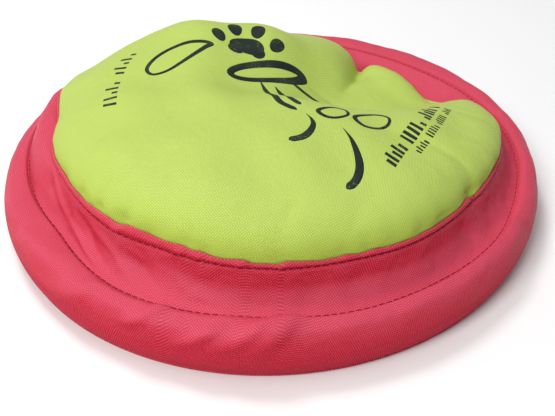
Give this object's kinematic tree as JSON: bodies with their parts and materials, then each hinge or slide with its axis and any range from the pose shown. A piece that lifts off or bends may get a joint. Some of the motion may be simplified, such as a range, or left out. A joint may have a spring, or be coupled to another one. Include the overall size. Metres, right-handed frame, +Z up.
{
  "type": "soft flying disc",
  "caption": "Soft fabric flying disc: a loose domed cloth crown sewn into a cloth band, with a cloth-covered hollow hose as its stiff rim.",
  "frame": {"origin": "on the surface it rests on, under the centre of the rim", "axes": "+Z up through the crown; -Y towards the side where the crown seam stands highest"},
  "size_m": [0.2438, 0.2362, 0.0639],
  "materials": {
    "lime_cloth": "plain-woven nylon, slight sheen, printed",
    "coral_cloth": "plain-woven nylon, slight sheen",
    "coral_thread": "spun polyester sewing thread",
    "black_hose": "smooth flexible hose",
    "white_plastic": "moulded, satin",
    "coral_tape": "woven binding tape, matte"
  },
  "bodies": {
    "root": {"crown_panel": "lime_cloth", "top_ring_panel": "coral_cloth", "under_ring_panel": "coral_cloth", "crown_seam_tape": "coral_tape", "rim_hose": "black_hose", "hose_joiner": "white_plastic", "crown_topstitch_needle_thread": "coral_thread", "crown_topstitch_bobbin_thread": "coral_thread", "rim_topstitch_needle_thread": "coral_thread", "rim_topstitch_bobbin_thread": "coral_thread", "edge_seam_needle_thread": "coral_thread", "edge_seam_bobbin_thread": "coral_thread"}
  },
  "joints": []
}
